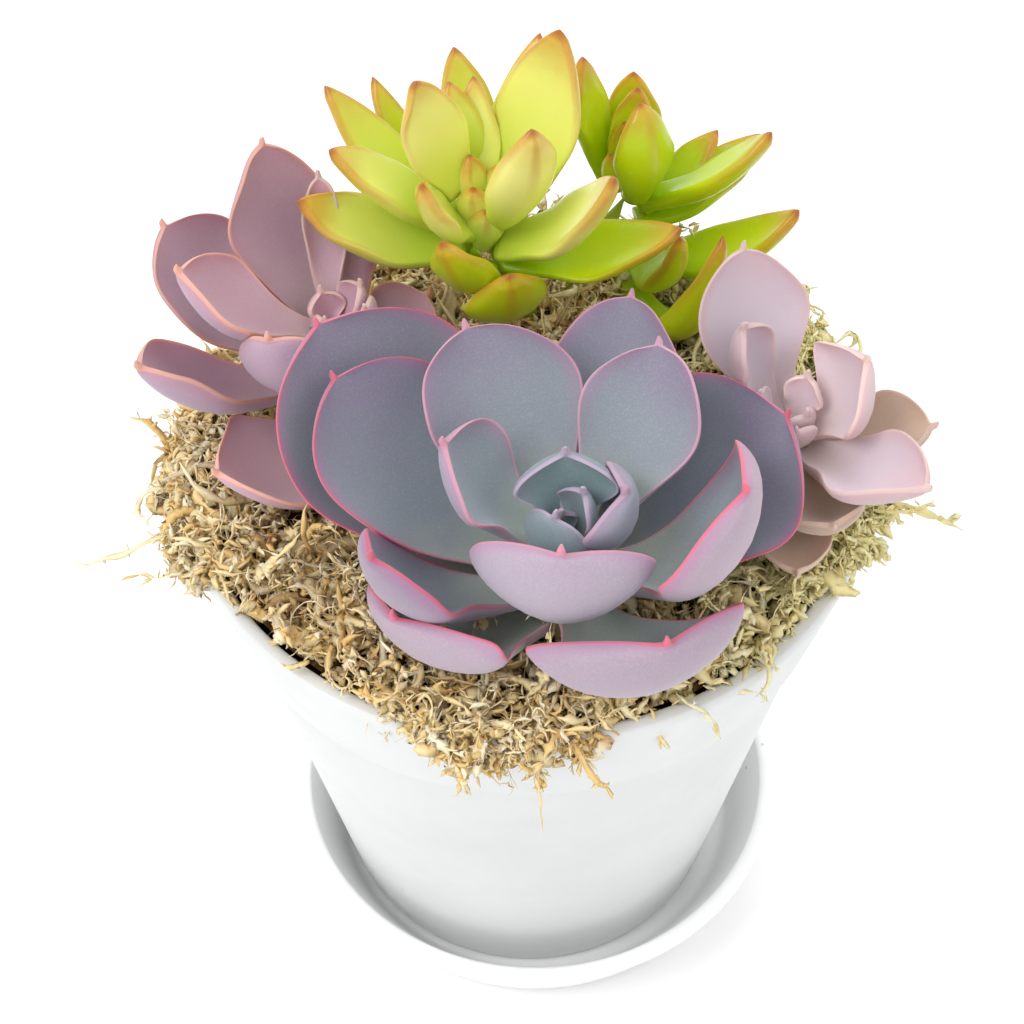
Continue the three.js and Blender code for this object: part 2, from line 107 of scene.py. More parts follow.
def make_studio():
    for name, (place, size, watts) in LIGHTS.items():
        light = bpy.data.lights.new(name, "AREA")
        light.shape = "DISK"
        light.size = size
        light.energy = watts
        holder = placed(name, light)
        holder.location = place
        holder.rotation_euler = (LIGHTS_AIM - Vector(place)).to_track_quat("-Z", "Y").to_euler()
    world = bpy.data.worlds.new("studio")
    world.use_nodes = True
    background = world.node_tree.nodes["Background"]
    background.inputs["Color"].default_value = (1, 1, 1, 1)
    background.inputs["Strength"].default_value = SKY_STRENGTH
    bpy.context.scene.world = world
    bpy.context.scene.view_settings.view_transform = "Standard"


# ---- materials


def colour(code):
    """A linear colour from its six-digit screen code."""
    parts = [int(code[i:i + 2], 16) / 255 for i in (0, 2, 4)]
    linear = [p / 12.92 if p <= 0.04045 else ((p + 0.055) / 1.055) ** 2.4 for p in parts]
    return (*linear, 1.0)


class Material:
    """A Principled material, with short calls for the nodes that feed it."""

    def __init__(self, name, **constants):
        self.material = bpy.data.materials.new(name)
        self.material.use_nodes = True
        self.tree = self.material.node_tree
        self.shader = self.tree.nodes["Principled BSDF"]
        self.place = self.add("ShaderNodeTexCoord").outputs["Object"]
        self.feed_all(self.shader, **constants)

    def add(self, kind, **settings):
        node = self.tree.nodes.new(kind)
        for key, value in settings.items():
            setattr(node, key, value)
        return node

    def feed(self, value, socket):
        if isinstance(value, bpy.types.NodeSocket):
            self.tree.links.new(value, socket)
        elif isinstance(value, str):
            socket.default_value = colour(value)
        else:
            socket.default_value = value

    def feed_all(self, node, **values):
        """Feeds a node's inputs by name, with an underline for each space."""
        for name, value in values.items():
            self.feed(value, node.inputs[name.replace("_", " ")])

    def attributes(self, *names):
        return [self.add("ShaderNodeAttribute", attribute_name=name).outputs["Fac"] for name in names]

    def math(self, operation, first, second):
        node = self.add("ShaderNodeMath", operation=operation)
        self.feed(first, node.inputs[0])
        self.feed(second, node.inputs[1])
        return node.outputs[0]

    def times(self, first, second):
        return self.math("MULTIPLY", first, second)

    def plus(self, first, second):
        return self.math("ADD", first, second)

    def swayed(self, value, noise, amount):
        """The value, moved up or down by a noise."""
        return self.plus(value, self.times(self.math("SUBTRACT", noise, 0.5), amount))

    def ramp(self, value, low, high, from_value=0.0, to_value=1.0):
        """from_value where value is low or less, to_value where it is high or more, smooth between them."""
        node = self.add("ShaderNodeMapRange", interpolation_type="SMOOTHSTEP")
        for socket, number in zip(node.inputs, (value, low, high, from_value, to_value)):
            self.feed(number, socket)
        return node.outputs[0]

    def mix(self, factor, first, second, blend="MIX"):
        node = self.add("ShaderNodeMix", data_type="RGBA", blend_type=blend)
        first_colour, second_colour, result_colour = node.inputs[6], node.inputs[7], node.outputs[2]
        self.feed(factor, node.inputs["Factor"])
        self.feed(first, first_colour)
        self.feed(second, second_colour)
        return result_colour

    def noise(self, scale, detail, roughness=0.5):
        node = self.add("ShaderNodeTexNoise")
        self.feed_all(node, Vector=self.place, Scale=scale, Detail=detail, Roughness=roughness)
        return node.outputs["Fac"]

    def finished(self, skin, roughness, height, strength, distance):
        """The material with its colour and roughness, and a bump of that height."""
        bump = self.add("ShaderNodeBump")
        self.feed_all(bump, Height=height, Strength=strength, Distance=distance)
        self.feed_all(self.shader, Base_Color=skin, Roughness=roughness, Normal=bump.outputs["Normal"])
        return self.material


# A rosette's colours. The upper face has base near the stem, then body and tip. The underside has under_base,
# then under, and turns to blushed, where there is one, on leaves with more blush. The margin is a thin line,
# pale_margin where there is no blush. Beside it lies the flush, which is so strong and reaches so many
# millimetres.
ROSETTE_LOOKS = {
    "blue": {
        "base": "b6bfb3", "body": "979fa6", "tip": "978ba1", "under_base": "aeb6c3", "under": "aca6ba",
        "blushed": "c29fa9", "margin": "e2768c", "pale_margin": "cbbfd2",
        "flush": "b987aa", "flush_amount": 0.75, "flush_reach": 4.2,
    },
    "mauve": {
        "base": "d4b7b6", "body": "d0a9b6", "tip": "ce9ca8", "under_base": "cbb6c2", "under": "c6a8ba",
        "margin": "efb3a0", "pale_margin": "e3c4bd",
        "flush": "cf909c", "flush_amount": 0.6, "flush_reach": 3.0,
    },
    "pink": {
        "base": "dfccc7", "body": "e2d0d6", "tip": "e2bfc4", "under_base": "d3b8b1", "under": "d9c2c4",
        "margin": "eccdc6", "pale_margin": "e6cfcb",
        "flush": "e0b2b6", "flush_amount": 0.6, "flush_reach": 3.0,
    },
    "aged": {
        "base": "c9ae98", "body": "d3b79f", "tip": "d2b398", "under_base": "bb9f8a", "under": "c4a994",
        "margin": "dcc0aa", "pale_margin": "dcc0aa",
        "flush": "cbab94", "flush_amount": 0.5, "flush_reach": 3.0,
    },
}
MARGIN_LINE = 0.38  # how far the margin's line reaches, in millimetres


def rosette_faces(made, look, along, face, blush, cloud):
    """The colour of a rosette leaf's two faces."""
    shift = made.swayed(along, cloud, 0.55)
    upper = made.mix(made.ramp(shift, 0.12, 0.5), look["base"], look["body"])
    upper = made.mix(made.ramp(shift, 0.55, 1.05), upper, look["tip"])
    under = made.mix(made.ramp(shift, 0.25, 0.95), look["under_base"], look["under"])
    under = made.mix(made.times(blush, 0.5), under, look.get("blushed", look["under"]))
    return made.mix(made.ramp(face, 0.35, 0.65), under, upper)


def rosette_margin(made, look, skin, along, edge, blush, cloud):
    """The skin with its soft flush and the thin bright line at the margin."""
    from_edge = made.plus(edge, made.times(cloud, 1.5))
    flush = made.ramp(from_edge, 0.5, look["flush_reach"] + 0.7, 1, 0)
    flush = made.times(flush, made.ramp(along, 0.25, 0.75))
    flush = made.times(flush, made.ramp(blush, 0, 1, 0.35, 1))
    skin = made.mix(made.times(flush, look["flush_amount"]), skin, look["flush"])
    line = made.ramp(edge, MARGIN_LINE * 0.6, MARGIN_LINE * 1.5, 1, 0)
    line = made.times(line, made.ramp(along, 0.12, 0.5, 0.35, 1))
    return made.mix(line, skin, made.mix(blush, look["pale_margin"], look["margin"]))


def rosette_material(name, look):
    """Thick leaf skin under a matt, waxy bloom, with a bright margin."""
    made = Material(
        f"{name}_skin", Subsurface_Weight=0.12, Subsurface_Scale=0.004, Specular_IOR_Level=0.32,
        Sheen_Weight=0.25, Sheen_Roughness=0.45,
    )
    along, edge, face, tone, young, blush = made.attributes("along", "edge", "face", "tone", "young", "blush")
    cloud = made.noise(55, 3)
    skin = rosette_faces(made, look, along, face, blush, cloud)
    skin = made.mix(made.times(young, 0.85), skin, "93b0ac")
    bloom = made.noise(2600, 3, 0.7)
    skin = made.mix(made.ramp(bloom, 0.42, 0.8, 0, 0.2), skin, "e4e3ea")
    skin = made.mix(made.ramp(made.noise(1400, 3, 0.65), 0.5, 0.8, 0, 0.22), skin, look["tip"])
    skin = rosette_margin(made, look, skin, along, edge, blush, cloud)
    skin = made.mix(1.0, skin, made.mix(tone, "d9dbe2", "ffffff"), "MULTIPLY")
    roughness = made.ramp(bloom, 0.3, 0.8, 0.56, 0.72)
    return made.finished(skin, roughness, made.plus(bloom, made.times(cloud, 2.0)), 0.12, 0.0004)


def sedum_material():
    """A plump, waxy leaf: lime to yellow, with orange-brown tip, margins and keel."""
    made = Material(
        "golden_skin", Subsurface_Weight=0.2, Subsurface_Scale=0.004, Specular_IOR_Level=0.35,
        Coat_Weight=0.28, Coat_Roughness=0.16,
    )
    along, edge, keel, tone, young = made.attributes("along", "edge", "keel", "tone", "young")
    cloud = made.noise(70, 3)
    shift = made.swayed(along, cloud, 0.35)
    skin = made.mix(made.ramp(shift, 0.1, 0.6), "a6c800", "c6d80c")
    skin = made.mix(made.times(tone, 0.4), skin, "a6c400")
    bright = made.mix(made.ramp(shift, 0.1, 0.7), "dbe65c", "f1ee8c")
    skin = made.mix(made.times(young, 0.9), skin, bright)
    skin = made.mix(made.times(made.ramp(shift, 0.66, 1.04), 0.8), skin, "c8912a")
    rim = made.times(made.ramp(edge, 0.1, 1.3, 1, 0), made.ramp(along, 0.35, 0.85))
    skin = made.mix(made.times(rim, 0.55), skin, "c48424")
    ridge = made.times(made.ramp(keel, 0.04, 0.26, 1, 0), made.ramp(along, 0.35, 0.9))
    skin = made.mix(made.times(ridge, 0.45), skin, "c58a1e")
    skin = made.mix(made.ramp(along, 0.94, 1.0), skin, "a4611a")
    pores = made.noise(650, 3, 0.7)
    skin = made.mix(made.ramp(pores, 0.5, 0.8, 0, 0.12), skin, "f2ef9a")
    roughness = made.ramp(pores, 0.3, 0.8, 0.3, 0.42)
    return made.finished(skin, roughness, made.plus(made.times(pores, 0.4), cloud), 0.15, 0.0004)


def stem_material(name, fresh):
    """Woody and brown at the soil, turning to the plant's own colour higher up, with leaf scars."""
    made = Material(f"{name}_stem_bark", Specular_IOR_Level=0.3)
    along, = made.attributes("along")
    grain = made.noise(220, 5, 0.65)
    skin = made.mix(made.ramp(made.swayed(along, grain, 0.5), 0.2, 0.6), "6f5a38", fresh)
    skin = made.mix(made.ramp(made.noise(90, 3), 0.5, 0.7, 0, 0.5), skin, "8a7a45")
    return made.finished(skin, made.ramp(grain, 0.3, 0.7, 0.55, 0.8), grain, 0.5, 0.0006)


def ceramic_material(name, light, dark):
    """White satin glaze, faintly mottled, with a few pinholes and specks."""
    made = Material(name, Specular_IOR_Level=0.4, Coat_Weight=0.12, Coat_Roughness=0.3)
    mottle = made.noise(26, 4, 0.6)
    skin = made.mix(made.ramp(mottle, 0.35, 0.7), light, dark)
    specks = made.add("ShaderNodeTexVoronoi")
    made.feed_all(specks, Vector=made.place, Scale=120)
    dot = made.ramp(specks.outputs["Distance"], 0.03, 0.07, 1, 0)
    rare = made.ramp(made.noise(40, 1), 0.62, 0.66)
    skin = made.mix(made.times(made.times(dot, rare), 0.5), skin, "8d867c")
    roughness = made.ramp(made.noise(90, 4, 0.7), 0.3, 0.7, 0.36, 0.48)
    height = made.plus(made.noise(320, 3), made.times(mottle, 3.0))
    return made.finished(skin, roughness, height, 0.08, 0.0005)


def soil_material():
    made = Material("soil_crumb", Specular_IOR_Level=0.2)
    grain = made.noise(240, 6, 0.7)
    skin = made.mix(made.ramp(grain, 0.35, 0.7), "15100c", "3b2d22")
    skin = made.mix(made.ramp(made.noise(500, 2), 0.68, 0.78, 0, 0.5), skin, "6b5845")
    return made.finished(skin, made.ramp(grain, 0.3, 0.7, 0.85, 1), grain, 0.9, 0.002)


def moss_material():
    """Dried sphagnum: cream to tan shreds, with painted shade in dark brown deep in the pile, and greener and
    lighter to the right, partly their own tint and partly painted light.
    """
    made = Material("moss_shred", Specular_IOR_Level=0.2, Subsurface_Weight=0.05, Subsurface_Scale=0.002)
    tone, shade_depth = made.attributes("tone", "shade_depth")
    fibre = made.noise(700, 4, 0.7)
    skin = made.mix(made.ramp(tone, 0.0, 0.55), "f0cc88", "fae6b4")
    skin = made.mix(made.ramp(tone, 0.55, 0.95), skin, "fdf3d6")
    skin = made.mix(made.ramp(made.noise(95, 3), 0.58, 0.72, 0, 0.55), skin, "c68a45")
    # Greener and lighter to the right: partly the moss's own tint, partly painted light that lifts the shade
    # on that side.
    split = made.add("ShaderNodeSeparateXYZ")
    made.feed_all(split, Vector=made.place)
    skin = made.mix(made.ramp(split.outputs["X"], 0.0, 0.06, 0, 0.65), skin, "f3f0b4")
    skin = made.mix(made.ramp(fibre, 0.45, 0.8, 0, 0.35), skin, "c09552")
    # Painted shade: shreds that lie deep in the pile turn dark brown.
    skin = made.mix(made.ramp(shade_depth, 0.3, 1.0, 0.0, 0.7), skin, "663f18")
    return made.finished(skin, made.ramp(fibre, 0.3, 0.7, 0.7, 0.95), fibre, 0.5, 0.0004)


def mat_and_gap_shade_material():
    """What shows between the shreds: dark, coarse and matt, partly the moss bed's own brown and partly
    painted shade of the gaps.
    """
    made = Material("moss_mat", Specular_IOR_Level=0.1)
    grain = made.noise(300, 6, 0.7)
    # Dark browns: the bed's own colour, deepened as painted shade between the shreds.
    skin = made.mix(made.ramp(grain, 0.35, 0.65), "2e1f10", "7d5f33")
    return made.finished(skin, made.ramp(grain, 0.3, 0.7, 0.85, 1), grain, 1.0, 0.002)


# ---- mesh helpers


def make_piece(name, points, faces, material, attributes=None, stands_for=()):
    """A smooth-shaded mesh that rides on the root."""
    mesh = bpy.data.meshes.new(name)
    mesh.from_pydata(points.tolist(), [], faces.tolist() if isinstance(faces, np.ndarray) else faces)
    for key, values in (attributes or {}).items():
        layer = mesh.attributes.new(key, "FLOAT", "POINT")
        layer.data.foreach_set("value", np.asarray(values, np.float32))
    mesh.polygons.foreach_set("use_smooth", [True] * len(mesh.polygons))
    mesh.materials.append(material)
    piece = placed(name, mesh)
    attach(piece, "root")
    if stands_for:
        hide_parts(*stands_for)


def tube_faces(rings, around):
    """Quads over rings of points, wrapped round, whose order faces outward."""
    low = np.arange(rings - 1)[:, None] * around
    here = np.arange(around)[None, :]
    after = (here + 1) % around
    return np.stack([low + here, low + around + here, low + around + after, low + after], -1).reshape(-1, 4)


WELD = 1e-6  # points closer than this are one


def welded(mesh):
    """A mesh's points with doubles merged, each point's neighbours, and its faces."""
    place = np.array([v.co for v in mesh.vertices])
    cells = np.round(place / WELD).astype(int)
    _, first, index = np.unique(cells, axis=0, return_index=True, return_inverse=True)
    index = index.reshape(-1)
    near = [set() for _ in first]
    faces = [[index[i] for i in polygon.vertices] for polygon in mesh.polygons]
    for corners in faces:
        for i in corners:
            near[i].update(corners)
    for i, others in enumerate(near):
        others.discard(i)
    return place[first], near, faces


def smooth_curve(stations, values, at):
    """A cubic through values at the stations, with slopes taken from their neighbours."""
    stations = np.asarray(stations, float)
    flat = np.asarray(values, float).reshape(len(stations), -1)
    slopes = np.gradient(flat, stations, axis=0)
    at = np.clip(at, stations[0], stations[-1])
    k = np.clip(np.searchsorted(stations, at) - 1, 0, len(stations) - 2)
    span = (stations[k + 1] - stations[k])[:, None]
    t = ((at - stations[k])[:, None]) / span
    made = (
        (2 * t**3 - 3 * t**2 + 1) * flat[k] + (t**3 - 2 * t**2 + t) * span * slopes[k]
        + (3 * t**2 - 2 * t**3) * flat[k + 1] + (t**3 - t**2) * span * slopes[k + 1]
    )
    return made.reshape((len(at),) + np.asarray(values).shape[1:])


def unit(vectors):
    return vectors / np.linalg.norm(vectors, axis=-1, keepdims=True)


def compass(angle):
    """The level directions out along a bearing and to its left."""
    return np.array([math.cos(angle), math.sin(angle), 0]), np.array([-math.sin(angle), math.cos(angle), 0])


def smooth_step(t):
    """0 below 0, 1 above 1, and smooth between them."""
    t = np.clip(t, 0, 1)
    return t * t * (3 - 2 * t)


# ---- leaves

# The outline law of each kind of leaf, as the frame's leaves have it: where along the leaf their rings lie
# (stations), where it is widest, its width at the stem (base), the part that is its sharp tip (spine) and its
# shoulder's shape (shoulder, blunt). crown is the part of the thickness above the middle surface.
KINDS = {
    "echeveria": {
        "stations": (0, 0.17, 0.34, 0.52, 0.7, 0.82, 0.905, 0.955), "widest": 0.7, "base": 0.27,
        "spine": 0.025, "shoulder": 2.4, "blunt": 0.5, "crown": 0.0,
    },
    "sedum": {
        "stations": (0, 0.14, 0.32, 0.5, 0.68, 0.84, 0.945), "widest": 0.48, "base": 0.5,
        "spine": 0.0, "shoulder": 1.9, "blunt": 0.85, "crown": 0.3,
    },
}
RING = 8  # points in a ring of a frame leaf
ACROSS = np.array([-1, -0.58, 0, 0.58, 1])  # where the upper ones lie, from margin to margin
LEAF_ROWS = 46
LEAF_AROUND = 40
EDGE_ROUND = 0.3 * MM  # the margin's thickness, beyond the leaf's own
MUCRO = 2.0 * MM  # the length of an echeveria leaf's sharp tip
POINTED = {  # leaves that narrow to their tip, and by how much
    "mauve_leaf_1": 0.5, "mauve_leaf_3": 0.35, "mauve_leaf_4": 0.25, "mauve_leaf_6": 0.45,
    "pink_leaf_1": 0.45, "pink_leaf_3": 0.45, "pink_leaf_4": 0.5, "pink_leaf_5": 0.45, "pink_leaf_7": 0.4,
    "blue_leaf_1": 0.3, "blue_leaf_5": 0.3, "blue_leaf_6": 0.25, "blue_leaf_8": 0.35,
}
BLUNT = 0.12  # the same for the other leaves
RIPPLE = 0.35 * MM  # how far a margin waves
KEEL = 0.10  # how much a leaf's middle line thickens its underside


def half_width(kind, u):
    """A leaf's half width at the places u along it, as a part of its greatest."""
    rising = kind["base"] + (1 - kind["base"]) * smooth_step(u / kind["widest"])
    part = np.clip((u - kind["widest"]) / (1 - kind["spine"] - kind["widest"]), 0, 1)
    falling = (1 - part ** kind["shoulder"]) ** kind["blunt"]
    return np.where(u < kind["widest"], rising, falling)


def quartic_weights(v):
    """Weights of the five points across for a place v between the margins."""
    weights = np.ones((len(v), len(ACROSS)))
    for j, at in enumerate(ACROSS):
        for other in np.delete(ACROSS, j):
            weights[:, j] *= (v - other) / (at - other)
    return weights


def swell_law(width, u):
    """A leaf's thickness, as a part of its full one."""
    return (0.45 + 0.55 * width) * (1 - 0.35 * u)


def loop_order(ring, near):
    loop = [min(ring)]
    while len(loop) < RING:
        loop.append(next(i for i in sorted(near[loop[-1]]) if i in ring and i not in loop))
    return loop


def ring_sets(points, near):
    """The rings of a frame leaf as sets of points, from its stem to its tip, and the tip's point."""
    poles = [i for i, others in enumerate(near) if len(others) == RING]
    tip = min(poles, key=lambda i: np.ptp(points[sorted(near[i])], axis=0).sum())
    rings, seen, ring = [], {tip}, set(near[tip])
    while len(ring) == RING:
        rings.insert(0, ring)
        seen |= ring
        ring = set().union(*(near[i] for i in ring)) - seen
    return rings, tip


def middle_loop(rings, points, near):
    """The middle ring's points in order from a margin, turning so that faces over them look out."""
    middle = len(rings) // 2
    loop = loop_order(rings[middle], near)
    at = points[loop]
    spoke = at - at.mean(0)
    along = points[sorted(rings[middle + 1])].mean(0) - points[sorted(rings[middle - 1])].mean(0)
    if np.cross(spoke, np.roll(spoke, -1, 0)).sum(0) @ along > 0:
        loop.reverse()
    at = points[loop]
    start = max(range(RING // 2), key=lambda i: np.linalg.norm(at[i] - at[i + RING // 2]))
    return loop[start:] + loop[:start]


def next_loop(ring, loop, near, step):
    """A ring's points in order: each is a neighbour of two points of the loop beside it, step apart."""
    pairs = [(near[loop[j]], near[loop[(j + step) % RING]]) for j in range(RING)]
    return [next(i for i in ring if i in first and i in second) for first, second in pairs]


def leaf_rings(node):
    """A frame leaf's rings from its stem to its tip, each from margin over the top to margin and back."""
    points, near, _ = welded(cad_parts[node].data)
    rings, tip = ring_sets(points, near)
    middle = len(rings) // 2
    loops = {middle: middle_loop(rings, points, near)}
    for k in range(middle - 1, -1, -1):
        loops[k] = next_loop(rings[k], loops[k + 1], near, 1)
    for k in range(middle + 1, len(rings)):
        loops[k] = next_loop(rings[k], loops[k - 1], near, -1)
    made = np.array([points[loops[k]] for k in range(len(rings))])
    if made[1, 1:4, 2].mean() < made[1, 5:, 2].mean():
        made = np.roll(made, RING // 2, axis=1)
    return made, points[tip]


def frame_leaf(node, kind):
    """The controls of a leaf's surface, from a leaf of the frame: centre line, section and thickness."""
    rings, tip = leaf_rings(node)
    stations = np.array(kind["stations"])
    rings = rings[:len(stations)]
    top = rings[:, :5]
    under = rings[:, [0, 7, 6, 5, 4]]
    middle = top + kind["crown"] * (under - top)
    width = half_width(kind, stations)
    section = (middle - middle[:, 2:3]) / width[:, None, None]
    thick = (np.linalg.norm(top[:, 2] - under[:, 2], axis=1) / swell_law(width, stations)).mean()
    return {"centre": np.vstack([middle[:, 2], tip]), "section": section, "thick": thick}


# A small leaf that the frame doesn't have: its bearing, its tip's reach and rise, its width, its foot's rise
# (root), the angle at which it leaves, how far its section bends (cup), its thickness and its foot's reach
# (stem). They count from its head's axis at the highest leaf base, in degrees and millimetres.
GrownLeaf = namedtuple("GrownLeaf", "turn reach rise width root leave cup thick stem", defaults=(2, 1))
GROWN_STEPS = 201


def grown_leaf(kind, foot, leaf):
    """The same controls for a small leaf, with foot its head's axis at the highest leaf base."""
    turn, leave, cup = math.radians(leaf.turn), math.radians(leaf.leave), math.radians(leaf.cup)
    out, side = compass(turn)
    base = foot + (out * leaf.stem + UP * leaf.root) * MM
    tip = foot + (out * leaf.reach + UP * leaf.rise) * MM
    bend = base + (out * math.cos(leave) + UP * math.sin(leave)) * np.linalg.norm(tip - base) / 2
    t = np.linspace(0, 1, GROWN_STEPS)[:, None]
    curve = (1 - t) ** 2 * base + 2 * t * (1 - t) * bend + t**2 * tip
    length = np.append(0, np.cumsum(np.linalg.norm(np.diff(curve, axis=0), axis=1)))
    places = np.append(kind["stations"], 1.0) * length[-1]
    centre = np.stack([np.interp(places, length, curve[:, i]) for i in range(3)], -1)
    steps = np.interp(places[:-1], length, np.arange(GROWN_STEPS)).astype(int)
    along = unit(np.gradient(curve, axis=0)[steps])
    half = leaf.width / 2 * MM
    sideways = half * np.sin(cup * ACROSS) / cup
    upwards = half * (1 - np.cos(cup * ACROSS)) / cup
    sections = [np.outer(sideways, side) + np.outer(upwards, np.cross(way, side)) for way in along]
    return {"centre": centre, "section": np.array(sections), "thick": leaf.thick * MM}


def outline_law(kind, leaf, u, from_tip, length):
    """The half width at the places u along a leaf, as a part of its breadth, and that of its sharp tip."""
    if not kind["spine"]:
        return half_width(kind, u), 0.0
    law = half_width(kind, np.minimum(u * (1 - kind["spine"]) / (1 - MUCRO / length), 1))
    law = law * (1 - leaf["point"] * smooth_step((u - 0.45) / 0.55) ** 1.3)
    mucro = (0.1 + 0.6 * np.minimum(from_tip / MUCRO, 1) ** 1.6) * MM
    return law, mucro * np.exp(-from_tip / (10 * MM))


def leaf_height(kind, leaf, u, law, from_tip, angle, random):
    """How far a leaf's surface stands above its middle, at the places u along it and angle round it."""
    v = np.cos(angle)
    lift = np.sin(angle)
    swell = np.minimum(leaf["thick"] * swell_law(law, u), 0.35 * MM + 0.75 * from_tip)[:, None]
    round_edge = np.minimum(EDGE_ROUND, 0.08 * MM + 0.2 * from_tip)[:, None]
    keel = 1 + KEEL * np.exp(-((v / 0.22) ** 2))
    above = (kind["crown"] * swell + round_edge) * lift
    below = ((1 - kind["crown"]) * swell * keel + round_edge) * lift
    phase = random.uniform(0, 2 * math.pi, 3)
    waves = sum(np.sin((6 + 4.6 * i) * u + phase[i]) for i in range(3))
    waves = waves * smooth_step(from_tip / (8 * MM))
    return np.where(lift > 0, above, below) + RIPPLE * waves[:, None] * np.abs(v) ** 3 * np.sign(v)


def leaf_faces():
    """Faces over a leaf's rows of points, with a fan to the point at each end."""
    faces = tube_faces(LEAF_ROWS, LEAF_AROUND)[:, ::-1].tolist()
    base = LEAF_ROWS * LEAF_AROUND
    last = base - LEAF_AROUND
    for i in range(LEAF_AROUND):
        j = (i + 1) % LEAF_AROUND
        faces.append([j, i, base])
        faces.append([last + i, last + j, base + 1])
    return faces


def leaf_attributes(leaf, u, width, angle, random):
    """What the material needs to know of each point: how far along the leaf it lies, how far from the margin
    in millimetres, whether it is on the upper face, how far from the keel, and the leaf's tone, youth and
    blush."""
    v = np.abs(np.cos(angle))
    count = LEAF_ROWS * LEAF_AROUND + 2

    def spread(values, at_base, at_tip):
        return np.append(np.broadcast_to(values, (LEAF_ROWS, LEAF_AROUND)), [at_base, at_tip])

    return {
        "along": spread(u[:, None], 0, 1),
        "edge": spread((1 - v) * width[:, None] / MM, 9, 0),
        "face": spread(0.5 + 0.5 * np.sin(angle), 0.5, 0.5),
        "keel": spread(np.where(np.sin(angle) < 0, v, 1.0), 1, 0),
        "tone": np.full(count, random.uniform(0.0, 1.0)),
        "young": np.full(count, leaf["young"]),
        "blush": np.full(count, leaf["blush"]),
    }


def leaf_surface(kind, leaf, random):
    """A fine closed surface over a leaf's controls, and its attributes."""
    stations = np.array(kind["stations"])
    u = 1 - (1 - np.linspace(0, 1, LEAF_ROWS)) ** 1.7
    centre = smooth_curve(np.append(stations, 1.0), leaf["centre"], u)
    section = smooth_curve(stations, leaf["section"], u)
    length = np.linalg.norm(np.diff(centre, axis=0), axis=1).sum()
    from_tip = (1 - u) * length
    broad = np.linalg.norm(section[:, 4] - section[:, 0], axis=1) / 2
    law, mucro = outline_law(kind, leaf, u, from_tip, length)
    width = law * broad + mucro
    angle = np.linspace(math.pi, -math.pi, LEAF_AROUND, endpoint=False)
    v = np.cos(angle)
    across = np.einsum("kjc,vj->kvc", section, quartic_weights(v)) * (width / broad)[:, None, None]
    step = 1e-3
    slope = np.einsum("kjc,vj->kvc", section, quartic_weights(v + step) - quartic_weights(v - step))
    normal = unit(np.cross(np.gradient(centre, axis=0)[:, None, :], slope))
    height = leaf_height(kind, leaf, u, law, from_tip, angle, random)
    points = centre[:, None, :] + across + normal * height[..., None]
    points = np.vstack([points.reshape(-1, 3), centre[0], points[-1].mean(0)])
    return points, leaf_faces(), leaf_attributes(leaf, u, width, angle, random)


# Each head: its leaves' kind and how many the frame has, the plant it belongs to, the random seed, how far
# below the highest leaf base its stem ends (bare), how young some leaves look (young) and the small ones do
# (heart_young), and the small leaves added at its heart and between the others.
HEADS = {
    "blue_leaf": {
        "kind": "echeveria", "plant": "blue", "heart_young": 0.9, "count": 14, "seed": 11, "bare": 2,
        "young": {1: 1.0, 2: 0.35, 3: 0.25},
        "grown": [
            GrownLeaf(232, 3.5, 11, 15, -6, 76, 42, stem=5),
            GrownLeaf(30, 2.5, 12, 12, -4, 82, 55, stem=3),
            GrownLeaf(130, 1.5, 6, 6, -3, 80, 60, stem=2),
        ],
    },
    "mauve_leaf": {
        "kind": "echeveria", "plant": "mauve", "count": 8, "seed": 12, "bare": 2,
        "grown": [
            GrownLeaf(320, 9, 13, 15, -3, 35, 55),
            GrownLeaf(20, 6, 12, 11, -2, 50, 55),
            GrownLeaf(120, 4, 9, 8, -1, 60, 60),
            GrownLeaf(250, 3, 7, 6, 0, 65, 60),
            GrownLeaf(96, 18, 26, 9, -2, 45, 50),
        ],
    },
    "pink_leaf": {
        "kind": "echeveria", "plant": "pink", "count": 7, "seed": 13, "bare": 2,
        "grown": [
            GrownLeaf(266, 7, 7, 9, -4, 45, 58),
            GrownLeaf(190, 7, 11, 9, -2, 45, 55),
            GrownLeaf(60, 5, 10, 8, -2, 50, 58),
            GrownLeaf(310, 3, 7, 6, -1, 60, 60),
        ],
    },
    "golden_leaf": {
        "kind": "sedum", "plant": "golden", "heart_young": 0.8, "count": 14, "seed": 14, "bare": 7,
        "young": {1: 0.6, 2: 0.6, 3: 0.3, 5: 1.0, 6: 0.4, 7: 0.4, 8: 0.8, 9: 1.0, 10: 0.8, 11: 0.8},
        "grown": [
            GrownLeaf(252, 5.5, 6, 8.5, -10, 75, 45, thick=4),
            GrownLeaf(276, 7.5, 2, 8, -12, 65, 45, thick=4),
            GrownLeaf(20, 4, 6, 8, -8, 80, 45, thick=4),
            GrownLeaf(140, 3, 8, 7, -6, 80, 45, thick=4),
            GrownLeaf(95, 16, 16, 9, -5, 50, 25, thick=3.5),
            GrownLeaf(66, 29, 18, 12, -8, 30, 25, thick=3.5),
        ],
    },
    "golden_side_leaf": {
        "kind": "sedum", "plant": "golden", "count": 9, "seed": 15, "bare": 5,
        "grown": [
            GrownLeaf(90, 4, 12, 7, -2, 65, 45, thick=3.5),
            GrownLeaf(200, 3, 8, 6, -1, 65, 45, thick=3.5),
            GrownLeaf(73, 9, 17, 11, -4, 55, 40, thick=3.5),
        ],
    },
}
BLUSH = {  # leaves whose margins are less pink than the others'
    "blue_leaf_1": 0.1, "blue_leaf_2": 0.3, "blue_leaf_3": 0.55, "blue_leaf_4": 0.7, "blue_leaf_5": 0.4,
    "blue_leaf_6": 0.5, "blue_leaf_8": 0.5,
}
AGED_LEAVES = ("pink_leaf_4", "pink_leaf_6", "pink_leaf_7")
HEART_LOOK = {"blush": 0.1, "point": 0.35}  # the small leaves' blush and how much they narrow


def head_nodes(prefix):
    return [f"{prefix}_{i + 1}" for i in range(HEADS[prefix]["count"])]


